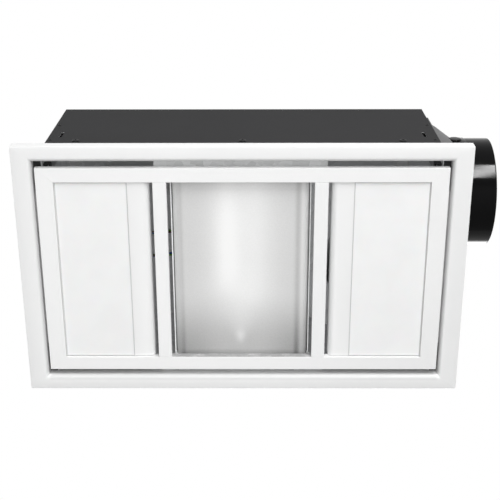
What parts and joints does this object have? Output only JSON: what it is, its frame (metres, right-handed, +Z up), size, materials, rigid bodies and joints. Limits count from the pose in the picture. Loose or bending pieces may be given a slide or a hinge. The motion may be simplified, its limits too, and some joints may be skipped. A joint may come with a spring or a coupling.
{
  "type": "bathroom heater exhaust fan",
  "caption": "Ceiling bathroom unit: heat lamp behind frosted glass, flat light panels, slot-intake exhaust fan, drop-down cover and side duct with damper.",
  "frame": {"origin": "middle of the four ceiling fixing holes, on the ceiling's underside", "axes": "+Z up into the ceiling, +X towards the duct, -Y the side nearer the viewer"},
  "size_m": [0.643, 0.356, 0.223],
  "materials": {
    "casing_paint": "satin dark grey powder coat",
    "white_paint": "satin white powder coat",
    "white_plastic": "fine satin white",
    "opal_plastic": "opal diffuser, satin",
    "frosted_glass": "frosted, toughened",
    "quartz": "clear quartz",
    "galvanised": "galvanised sheet",
    "polished_aluminium": "polished",
    "aluminium": "mill finish",
    "spring_steel": "oiled",
    "zinc_screw": "zinc plated",
    "black_screw": "black oxide",
    "black_gloss": "gloss black moulding",
    "black_plastic": "fine satin black",
    "ceramic": "unglazed steatite",
    "tungsten": "drawn wire",
    "circuit_board": "white solder mask",
    "copper": "enamelled windings and laminations",
    "bearing_steel": "ground",
    "rubber": "moulded",
    "brass": "machined"
  },
  "bodies": {
    "unit": {"casing_body": "casing_paint", "end_plate_left": "casing_paint", "end_plate_right": "casing_paint", "casing_screws": "black_screw", "casing_rivets": "black_screw", "trim_frame": "white_plastic", "trim_screws": "zinc_screw", "cover_catches": "black_plastic", "heat_box": "galvanised", "reflector": "polished_aluminium", "heat_lamp": "quartz", "lamp_filament": "tungsten", "lamp_holders": "ceramic", "glass_panel": "frosted_glass", "glass_clips": "spring_steel", "thermal_cutout": "black_plastic", "light_tray_left": "casing_paint", "light_tray_right": "casing_paint", "light_board_left": "circuit_board", "light_board_right": "circuit_board", "diffuser_left": "opal_plastic", "diffuser_right": "opal_plastic", "vent_strip_left": "white_paint", "vent_strip_right": "white_paint", "scroll_body": "galvanised", "scroll_inlet_plate": "galvanised", "motor_housing": "casing_paint", "motor_windings": "copper", "motor_bearings": "bearing_steel", "motor_bracket": "galvanised", "motor_grommets": "rubber", "motor_screws": "zinc_screw", "blower_hangers": "galvanised", "duct_gasket": "rubber", "duct_transition": "casing_paint", "duct_screws": "black_screw", "duct_spigot": "black_gloss", "damper_rod": "zinc_screw", "damper_spring": "spring_steel", "terminal_box": "black_plastic", "terminal_lid": "casing_paint", "terminal_block": "white_plastic", "cable_gland": "black_plastic", "earth_stud": "brass", "capacitor": "white_plastic", "light_driver": "white_plastic", "wiring_loom": "black_plastic"},
    "cover": {"cover_rail_front": "white_paint", "cover_rail_back": "white_paint", "cover_rail_left": "white_paint", "cover_rail_right": "white_paint", "corner_keys": "aluminium", "bar_left": "white_paint", "bar_right": "white_paint", "cover_legs": "spring_steel"},
    "fan": {"fan_wheel": "aluminium", "motor_rotor": "bearing_steel", "motor_shaft": "bearing_steel"},
    "damper_upper": {"damper_leaf_upper": "aluminium"},
    "damper_lower": {"damper_leaf_lower": "aluminium"}
  },
  "joints": [
    {"name": "cover_slide", "type": "slide", "parent": "unit", "child": "cover", "axis": [0, 0, -1], "range_m": [0, 0.06]},
    {"name": "fan_spin", "type": "hinge", "parent": "unit", "child": "fan", "pos_m": [0.165, 0.012, 0.1], "axis": [0, 0, 1], "continuous": true},
    {"name": "upper_leaf_swing", "type": "hinge", "parent": "unit", "child": "damper_upper", "pos_m": [0.2946, -0.078, 0.096], "axis": [0, 1, 0], "range_deg": [0, 75], "stiffness_Nm_per_rad": 0.004, "springref_deg": -85.94},
    {"name": "lower_leaf_swing", "type": "hinge", "parent": "unit", "child": "damper_lower", "pos_m": [0.2946, -0.078, 0.096], "axis": [0, -1, 0], "range_deg": [0, 75], "stiffness_Nm_per_rad": 0.004, "springref_deg": -85.94}
  ]
}
